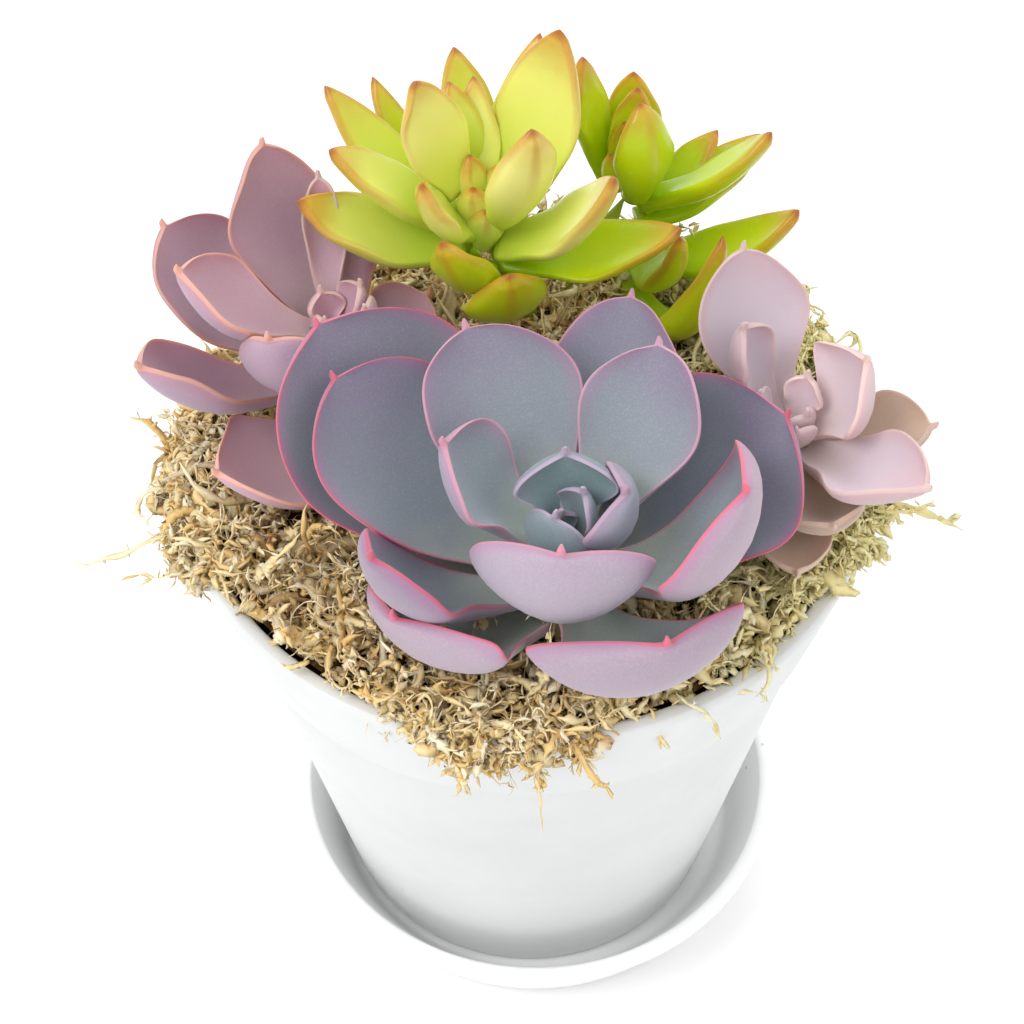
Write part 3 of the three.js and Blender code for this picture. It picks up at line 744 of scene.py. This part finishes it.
def stem_axis(prefix):
    """The upright line that a head's leaves leave, at the height of its highest leaf base."""
    matrix, right, top = np.zeros((2, 2)), np.zeros(2), 0.0
    for node in head_nodes(prefix):
        centre = frame_leaf(node, KINDS[HEADS[prefix]["kind"]])["centre"]
        out = unit((centre[1] - centre[0])[:2])
        across = np.eye(2) - np.outer(out, out)
        matrix += across
        right += across @ centre[0][:2]
        top = max(top, centre[0][2])
    return np.array([*np.linalg.solve(matrix, right), top])


def make_leaves():
    skins = {name: rosette_material(name, look) for name, look in ROSETTE_LOOKS.items()}
    skins["golden"] = sedum_material()
    for prefix, head in HEADS.items():
        kind = KINDS[head["kind"]]
        random = np.random.default_rng(head["seed"])
        for number, node in enumerate(head_nodes(prefix), 1):
            leaf = frame_leaf(node, kind)
            leaf["young"] = head.get("young", {}).get(number, 0.0)
            leaf["blush"] = BLUSH.get(node, 1.0)
            leaf["point"] = POINTED.get(node, BLUNT)
            skin = skins["aged" if node in AGED_LEAVES else head["plant"]]
            points, faces, attributes = leaf_surface(kind, leaf, random)
            make_piece(f"{node}_skin", points, faces, skin, attributes, [node])
        foot = stem_axis(prefix)
        for number, small in enumerate(head["grown"], 1):
            leaf = {**grown_leaf(kind, foot, small), "young": head.get("heart_young", 0.0), **HEART_LOOK}
            points, faces, attributes = leaf_surface(kind, leaf, random)
            make_piece(f"{prefix}_small_{number}", points, faces, skins[head["plant"]], attributes)


# ---- pot and saucer

ROUND_STEPS = 192
CORNER_CUT = 0.6 * MM
ON_SEAM = 1e-5  # how near the seam's plane, or the axis, a point counts as on it


def lathe_profile(node, axis):
    """The (radius, height) points of a turned frame node's section, in order."""
    points, near, _ = welded(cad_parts[node].data)
    side, front = (points[:, :2] - axis[:2]).T
    radius = np.hypot(side, front)
    seam = [i for i in range(len(points)) if abs(front[i]) < ON_SEAM and side[i] > -ON_SEAM]
    ends = [i for i in seam if radius[i] < ON_SEAM]
    order = [min(ends or seam, key=lambda i: (points[i, 2], radius[i]))]
    while onward := [i for i in near[order[-1]] if i in seam and i not in order]:
        order.append(max(onward, key=lambda i: radius[i] - 10 * points[i, 2]))
    return np.array([[radius[i], points[i, 2]] for i in order])


def eased(profile, closed):
    """The profile with its corners cut twice, so that its edges turn softly."""
    for cut in (CORNER_CUT, CORNER_CUT / 3):
        made = []
        count = len(profile)
        for i in range(count):
            if not closed and i in (0, count - 1):
                made.append(profile[i])
                continue
            for other in (profile[i - 1], profile[(i + 1) % count]):
                gap = np.linalg.norm(other - profile[i])
                made.append(profile[i] + (other - profile[i]) * min(0.3, cut / gap))
        profile = np.array(made)
    return profile


def turned_piece(name, node, axis, material, closed):
    """A frame node turned afresh about its axis; closed when its section doesn't meet the axis."""
    profile = eased(lathe_profile(node, axis), closed)
    angle = np.linspace(0, 2 * math.pi, ROUND_STEPS, endpoint=False)
    x = axis.x + profile[:, :1] * np.cos(angle)
    y = axis.y + profile[:, :1] * np.sin(angle)
    z = np.broadcast_to(profile[:, 1:], x.shape)
    points = np.stack([x, y, z], -1).reshape(-1, 3)
    rings = len(profile)
    faces = tube_faces(rings, ROUND_STEPS)
    if closed:
        wrap = tube_faces(2, ROUND_STEPS)
        wrap = np.where(wrap < ROUND_STEPS, wrap + (rings - 1) * ROUND_STEPS, wrap - ROUND_STEPS)
        faces = np.vstack([faces, wrap])
    make_piece(name, points, faces[:, ::-1], material, None, [node])


def make_pot_and_saucer():
    saucer_low, saucer_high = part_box("saucer")
    saucer_axis = (saucer_low + saucer_high) / 2
    pot_glaze = ceramic_material("pot_glaze", "dfe1e1", "d9dbdb")
    turned_piece("pot_shell", "pot", POT_AXIS, pot_glaze, True)
    saucer_glaze = ceramic_material("saucer_glaze", "fbfbfb", "f8f8f8")
    turned_piece("saucer_dish", "saucer", saucer_axis, saucer_glaze, False)


# ---- moss

MOSS_AXIS = np.array([POT_AXIS.x, POT_AXIS.y, 0])
STRAND_POINTS = 11
STRAND_SIDES = 4
MOSS_SECTORS = 8  # the moss is cut into so many pieces round the pot
MOSS_HOLD = 66 * MM  # the pile keeps its place out to here, and beyond it
MOSS_TUCK = 0.45  # is tucked in and up by this part
MOSS_EDGE = 56 * MM  # shreds further out than this are shorter, droop more and point outward
LEAF_GAP = 0.7 * MM  # shreds keep this far from the leaves


def moss_samples(count, random):
    """Places on the outside of the frame's moss, with the way each faces, spread by area."""
    points, _, faces = welded(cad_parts["moss"].data)
    corners = points[np.array(faces)]
    cross = np.cross(corners[:, 1] - corners[:, 0], corners[:, 2] - corners[:, 0])
    area = np.linalg.norm(cross, axis=1)
    facing = cross / area[:, None]
    middle = corners.mean(1)
    reach = np.linalg.norm((middle - MOSS_AXIS)[:, :2], axis=1)
    inner = (reach < POT_HIGH.x - POT_AXIS.x - 3 * MM) & (middle[:, 2] < RIM_HEIGHT)
    weight = np.where((facing[:, 2] < -0.5) | inner, 0, area)
    pick = random.choice(len(faces), count, p=weight / weight.sum())
    a, b = random.random((2, count, 1))
    over = (a + b) > 1
    a, b = np.where(over, 1 - a, a), np.where(over, 1 - b, b)
    chosen = corners[pick]
    place = chosen[:, 0] + a * (chosen[:, 1] - chosen[:, 0]) + b * (chosen[:, 2] - chosen[:, 0])
    return place, facing[pick]


def grown_strands(start, facing, heading, length, curl, droop, random):
    """Paths that wander from each start: heading is their first direction, curl how much they turn and droop
    how much they sink at each step."""
    count = len(start)
    path = np.zeros((count, STRAND_POINTS, 3))
    path[:, 0] = start
    step = (length / (STRAND_POINTS - 1))[:, None]
    direction = unit(heading)
    axis = unit(facing + 0.6 * random.normal(size=(count, 3)))
    bend = random.normal(size=(count, 1)) * curl[:, None]
    for k in range(1, STRAND_POINTS):
        sideways = np.cross(axis, direction)
        jitter = 0.22 * random.normal(size=(count, 3)) * np.minimum(4 * curl[:, None], 1)
        direction = unit(direction + bend * sideways + jitter - droop[:, None] * UP)
        axis = unit(axis + 0.25 * random.normal(size=(count, 3)))
        bend = bend * 0.9 + 0.25 * curl[:, None] * random.normal(size=(count, 1))
        path[:, k] = path[:, k - 1] + direction * step
    return path


def strand_mesh(path, width, flat, random):
    """Crumpled ribbons along the paths, as the points of each and the faces of one. width is at their middle,
    and flat the part of it that is their thickness."""
    count, rows = path.shape[:2]
    along = unit(np.gradient(path, axis=1))
    side = unit(np.cross(along, random.normal(size=(count, 1, 3))))
    upward = np.cross(along, side)
    roll = np.cumsum(random.normal(size=(count, rows)) * 0.45, axis=1)[..., None]
    side, upward = side * np.cos(roll) + upward * np.sin(roll), upward * np.cos(roll) - side * np.sin(roll)
    t = np.linspace(0, 1, rows)
    taper = np.clip(np.minimum(0.35 + t * 6, (1 - t) * 3.2 + 0.12), 0, 1)
    wide = width[:, None] * taper * (0.72 + 0.5 * random.random((count, rows)))
    thick = wide * flat[:, None] * (0.7 + 0.6 * random.random((count, rows)))
    angle = np.arange(STRAND_SIDES) * 2 * math.pi / STRAND_SIDES
    ring = (
        side[:, :, None] * np.cos(angle)[:, None] * wide[..., None, None] / 2
        + upward[:, :, None] * np.sin(angle)[:, None] * thick[..., None, None] / 2
    )
    points = (path[:, :, None] + ring).reshape(count, -1, 3)
    body = tube_faces(rows, STRAND_SIDES)
    last = (rows - 1) * STRAND_SIDES
    caps = np.array([[0, 1, 2, 3], [last + 3, last + 2, last + 1, last]])
    return points, np.vstack([body, caps])


def leaf_tree():
    """The frame's leaves, which the moss has to stay out of."""
    points, faces = [], []
    for name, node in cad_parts.items():
        if "leaf" in name:
            faces += [[len(points) + i for i in p.vertices] for p in node.data.polygons]
            points += [v.co.copy() for v in node.data.vertices]
    return BVHTree.FromPolygons(points, faces)


def clear_of_leaves(path, tree, gap):
    """Which paths keep that gap from every leaf."""
    keep = np.ones(len(path), bool)
    for i, strand in enumerate(path):
        keep[i] = all(tree.find_nearest(Vector(p), gap)[0] is None for p in strand[::2])
    return keep


def moss_outline():
    """How far from the pot's axis the moss may reach, as a function of the bearing in radians."""
    points, _, _ = welded(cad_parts["moss"].data)
    x, y, _ = (points - MOSS_AXIS).T
    bearing, far = np.arctan2(y, x), np.hypot(x, y)
    steps = np.linspace(-math.pi, math.pi, 61)
    reach = [far[np.cos(bearing - step) > math.cos(math.radians(7))].max() for step in steps]
    reach = np.minimum(reach, MOSS_HOLD + (1 - MOSS_TUCK) * np.clip(np.array(reach) - MOSS_HOLD, 0, None))
    return lambda at: np.interp(at, steps, reach)


def inside_outline(path, outline, random):
    """Which paths stay over the moss, give or take a few millimetres."""
    x, y = path[..., 0] - POT_AXIS.x, path[..., 1] - POT_AXIS.y
    past = np.hypot(x, y) - outline(np.arctan2(y, x))
    return past.max(1) < (0.8 + 4.5 * random.random(len(path)) ** 3) * MM


def clump(place):
    """Between 0 in the gaps and 1 on the clumps of moss."""
    x, y, _ = (place - MOSS_AXIS).T / MM
    waves = np.sin(x * 0.31 + 1.3) * np.cos(y * 0.27)
    waves += 0.7 * np.sin(x * 0.55 + y * 0.47) + 0.5 * np.cos(y * 0.8 - x * 0.4)
    return np.clip(0.5 + 0.32 * waves, 0, 1)


def moss_layer(count, sizes, lift, random, tree):
    """One layer of shreds over the moss. sizes gives the ranges of length, width (in millimetres), flatness
    and curl, and lift that of the height over the frame's moss, in millimetres."""
    place, facing = moss_samples(count, random)
    high = clump(place)
    keep = random.random(count) < 0.25 + 0.75 * high
    place, facing, high = place[keep], facing[keep], high[keep]
    count = len(place)
    radial = (place - MOSS_AXIS) * [1, 1, 0]
    far = np.linalg.norm(radial, axis=1, keepdims=True)
    radial = radial / far
    edge = smooth_step((far - MOSS_EDGE) / (14 * MM))
    start = place + facing * (lift[0] + (lift[1] - lift[0]) * random.random((count, 1)) * high[:, None]) * MM
    start = start - radial * np.clip(far - MOSS_HOLD, 0, None) * MOSS_TUCK
    start[:, 2] += MOSS_TUCK * np.clip(RIM_HEIGHT - place[:, 2], 0, None)
    heading = random.normal(size=(count, 3)) * [1, 1, 0.45] + 0.2 * edge * radial + 0.25 * facing
    length, width, flat, curl = (low + (top - low) * random.random(count) ** 1.6 for low, top in sizes)
    length = length * (1 - 0.4 * edge[:, 0])
    droop = 0.10 * edge[:, 0] + 0.02
    path = grown_strands(start, facing, heading, length * MM, curl, droop, random)
    keep = clear_of_leaves(path, tree, LEAF_GAP) & inside_outline(path, moss_outline(), random)
    width = width[keep] * MM
    # How deep each shred lies in the pile, which the material darkens as painted shade.
    shade_depth = np.clip(0.75 - 0.8 * high[keep] + random.normal(size=keep.sum()) * 0.12, 0, 1)
    return path[keep], width, flat[keep], shade_depth


MOSS_LAYERS = [
    {"count": 3800, "sizes": [(7, 17), (1.7, 4.2), (0.08, 0.22), (0.2, 0.6)], "lift": (-1.5, 1.0)},
    {"count": 3600, "sizes": [(10, 26), (1.0, 2.7), (0.12, 0.3), (0.2, 0.6)], "lift": (-0.5, 3.0)},
    {"count": 3000, "sizes": [(6, 20), (0.3, 0.9), (0.3, 0.8), (0.2, 0.7)], "lift": (0.5, 4.0)},
]

# Strays that hang from the moss or stand out of it: the bearing in degrees round the pot, how far out and
# high over the rim each starts, its direction (outward, sideways, up), its length and width in millimetres,
# and its curl.
Stray = namedtuple("Stray", "bearing reach rise aim length width curl")
STRAYS = [
    Stray(196, 74, 2, (1, 0.1, 0.0), 20, 1.2, 0.2),
    Stray(203, 73, 1, (1, 0.3, -0.2), 14, 0.9, 0.35),
    Stray(188, 73, 4, (1, -0.3, 0.5), 12, 1.3, 0.3),
    Stray(181, 72, 6, (0.7, -0.2, 1), 13, 1.6, 0.2),
    Stray(350, 70, 1, (1, -0.12, -0.1), 20, 1.7, 0.02),
    Stray(347, 70, 1, (1, -0.02, -0.1), 15, 1.0, 0.06),
    Stray(342, 70, 1, (1, -0.3, -0.4), 13, 1.1, 0.2),
    Stray(268, 73, -1, (0.35, 0.0, -1), 12, 1.0, 0.2),
    Stray(271, 72, -2, (0.3, 0.15, -1), 15, 0.8, 0.25),
    Stray(276, 70, 1, (0.5, 0.4, -1), 14, 1.5, 0.2),
    Stray(289, 67, 2, (0.7, 0.3, -0.7), 11, 1.2, 0.3),
    Stray(294, 66, 2, (0.7, 0.3, -0.6), 12, 1.0, 0.3),
    Stray(299, 66, 1, (0.8, 0.3, -0.4), 11, 1.0, 0.3),
    Stray(309, 66, 2, (0.7, 0.2, -0.6), 11, 0.9, 0.2),
    Stray(32, 66, 5, (0.6, 0.2, 0.8), 13, 1.0, 0.3),
    Stray(37, 66, 5, (0.8, -0.3, 0.5), 12, 0.9, 0.4),
    Stray(50, 66, 5, (0.7, -0.2, 0.9), 13, 0.9, 0.3),
    Stray(12, 68, 5, (0.7, 0.3, 0.6), 12, 1.0, 0.3),
]
STRAY_DROOP = 0.03
STRAY_FLATNESS = 0.55
BARBED_SHARE = 0.6  # the part of the strands that have barbs
BARBS_EACH = 7
BARB_FLATNESS = 0.3
MOSS_SEED = 21
PROUD_SHARE = 0.03  # shreds may leave the CAD box by this part of its side
PROUD_EDGE = 8 * MM  # and by this much more


def stray_strands(random):
    paths = []
    for stray in STRAYS:
        out, side = compass(math.radians(stray.bearing))
        start = MOSS_AXIS + UP * RIM_HEIGHT + (out * stray.reach + UP * stray.rise) * MM
        aim = stray.aim @ np.array([out, side, UP])
        length, curl, droop = np.array([[stray.length * MM], [stray.curl], [STRAY_DROOP]])
        paths.append(grown_strands(start[None], UP[None], aim[None], length, curl, droop, random)[0])
    return np.array(paths), np.array([stray.width * MM for stray in STRAYS])


def barbs(path, width, random):
    """Short scale leaves that stand off some of the strands, as sphagnum has, and the strand of each."""
    chosen = np.flatnonzero(random.random(len(path)) < BARBED_SHARE)
    k = random.integers(1, STRAND_POINTS - 1, (len(chosen), BARBS_EACH))
    start = path[chosen[:, None], k].reshape(-1, 3)
    onward = unit(path[chosen[:, None], k + 1].reshape(-1, 3) - start)
    heading = onward + 0.9 * random.normal(size=start.shape)
    count = len(start)
    length = (1.6 + 3.4 * random.random(count)) * MM
    short = grown_strands(start, heading, heading, length, np.full(count, 0.3), np.full(count, 0.02), random)
    parent = np.repeat(chosen, BARBS_EACH)
    return short[:, ::3], width[parent] * 0.5 + 0.25 * MM, parent


def make_mat():
    """The dark mat under the shreds, which stands for the frame's moss and is darkened as painted shade of
    the gaps between them. It is sunk a little and kept inside the pot's wall."""
    points, _, faces = welded(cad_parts["moss"].data)
    rim = POT_HIGH.x - POT_AXIS.x
    far = np.linalg.norm((points - MOSS_AXIS)[:, :2], axis=1)
    near = np.minimum(far, rim - 4.2 * MM)
    height = points[:, 2] - np.where(points[:, 2] > RIM_HEIGHT + 0.8 * MM, 2.0 * MM, 0.0)
    height = np.where(far > rim - 6 * MM, np.minimum(height, RIM_HEIGHT - 1.5 * MM), height)
    sunk = MOSS_AXIS + (points - MOSS_AXIS) * (near / np.maximum(far, MM))[:, None]
    sunk[:, 2] = height
    make_piece("moss_mat", sunk, [list(map(int, f)) for f in faces], mat_and_gap_shade_material(), None, ["moss"])


def inside_frame(lines):
    """Which strands stay within the CAD box and the little that may stand proud of it."""
    low, high = np.array(CAD_BOX[0]), np.array(CAD_BOX[1])
    spare = PROUD_SHARE * (high - low) + PROUD_EDGE
    return ((lines > low - spare) & (lines < high + spare)).all(axis=(1, 2))


def moss_strands(random):
    """The layers of shreds and the strays: paths, widths, flatness and how deep each lies, which sets its
    painted shade.
    """
    tree = leaf_tree()
    parts = []
    for layer in MOSS_LAYERS:
        count = layer["count"] // 1
        parts.append(moss_layer(count, layer["sizes"], layer["lift"], random, tree))
    path, width = stray_strands(random)
    parts.append((path, width, np.full(len(path), STRAY_FLATNESS), np.zeros(len(path))))
    return [np.concatenate(column) for column in zip(*parts)]


def make_strands(name, path, width, flat, shade_depth, skin, random):
    """The strands as meshes, one for each sector round the pot."""
    kept = inside_frame(path)
    path, width, flat, shade_depth = path[kept], width[kept], flat[kept], shade_depth[kept]
    tone = random.random(len(path))
    points, faces = strand_mesh(path, width, flat, random)
    bearing = np.arctan2(path[:, 0, 1] - POT_AXIS.y, path[:, 0, 0] - POT_AXIS.x)
    sector = np.floor((bearing / (2 * math.pi) + 0.5) * MOSS_SECTORS).astype(int) % MOSS_SECTORS
    size = points.shape[1]
    for index in range(MOSS_SECTORS):
        mine = sector == index
        quads = (faces + (np.arange(mine.sum()) * size)[:, None, None]).reshape(-1, 4)
        attributes = {"tone": np.repeat(tone[mine], size), "shade_depth": np.repeat(shade_depth[mine], size)}
        make_piece(f"{name}_{index + 1}", points[mine].reshape(-1, 3), quads, skin, attributes)


def make_moss():
    random = np.random.default_rng(MOSS_SEED)
    skin = moss_material()
    make_mat()
    path, width, flat, shade_depth = moss_strands(random)
    small_path, small_width, parent = barbs(path, width, random)
    make_strands("moss_shreds", path, width, flat, shade_depth, skin, random)
    small_flat = np.full(len(parent), BARB_FLATNESS)
    make_strands("moss_barbs", small_path, small_width, small_flat, shade_depth[parent], skin, random)


# ---- floor, stems and soil


FLOOR_REACH = 3.0


def floor_material():
    made = Material("floor_pale", Specular_IOR_Level=0.1, Roughness=0.9)
    skin = made.mix(made.ramp(made.noise(3, 2), 0.3, 0.7), "fbfbfb", "f8f8f8")
    made.feed_all(made.shader, Base_Color=skin)
    return made.material


def make_floor():
    corners = [(-1, -1, 0), (1, -1, 0), (1, 1, 0), (-1, 1, 0)]
    mesh = bpy.data.meshes.new("floor")
    mesh.from_pydata([Vector(corner) * FLOOR_REACH for corner in corners], [], [(0, 1, 2, 3)])
    mesh.materials.append(floor_material())
    placed("floor", mesh)


STEM_COLOURS = {"blue": "a3b0a4", "mauve": "b9a3a4", "pink": "c4b29c", "golden": "a3b53a"}
STEM_AROUND = 20
STEM_ROWS = 30
STEM_TAPER = 9 * MM  # the length of a stem's soft tip, among the youngest leaves


def stem_tube(foot, top, radius):
    """A stem that leaves the soil upright and leans over to its head."""
    bend = np.array([foot[0], foot[1], RIM_HEIGHT])
    t = np.linspace(0, 1, STEM_ROWS)[:, None]
    path = (1 - t) ** 2 * foot + 2 * t * (1 - t) * bend + t**2 * top
    to_top = np.linalg.norm(path - top, axis=1)
    width = radius * (1 - 0.3 * t[:, 0]) * np.clip(0.15 + to_top / STEM_TAPER, 0, 1)
    width = width * (1 + 0.05 * np.sin(np.arange(STEM_ROWS) * 1.9))
    angle = np.linspace(0, 2 * math.pi, STEM_AROUND, endpoint=False)
    flat = np.stack([np.cos(angle), np.sin(angle), np.zeros(STEM_AROUND)], -1)
    points = (path[:, None] + width[:, None, None] * flat[None]).reshape(-1, 3)
    faces = tube_faces(STEM_ROWS, STEM_AROUND)[:, ::-1]
    return points, faces, np.repeat(t[:, 0], STEM_AROUND)


def make_stems():
    for plant, fresh in STEM_COLOURS.items():
        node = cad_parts[f"{plant}_stem"]
        place = np.array([v.co for v in node.data.vertices])
        low = place[place[:, 2] < place[:, 2].min() + MM]
        foot = low.mean(0)
        heads = [prefix for prefix, head in HEADS.items() if head["plant"] == plant]
        radius = np.ptp(low[:, 1]) / 2 / len(heads) ** 0.5
        points, faces, along = [], [], []
        for prefix in heads:
            top = stem_axis(prefix) - UP * HEADS[prefix]["bare"] * MM
            tube_points, quads, tube_along = stem_tube(foot, top, radius)
            faces.append(quads + len(points) * STEM_ROWS * STEM_AROUND)
            points.append(tube_points)
            along.append(tube_along)
        skin = stem_material(plant, fresh)
        make_piece(
            f"{plant}_stem_skin", np.concatenate(points), np.concatenate(faces), skin,
            {"along": np.concatenate(along)}, [f"{plant}_stem"],
        )


def finish_soil():
    """The soil keeps its frame shape."""
    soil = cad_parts["soil"]
    soil.data.materials.clear()
    soil.data.materials.append(soil_material())


make_camera()
make_studio()
make_floor()
finish_soil()
make_stems()
make_pot_and_saucer()
make_leaves()
make_moss()
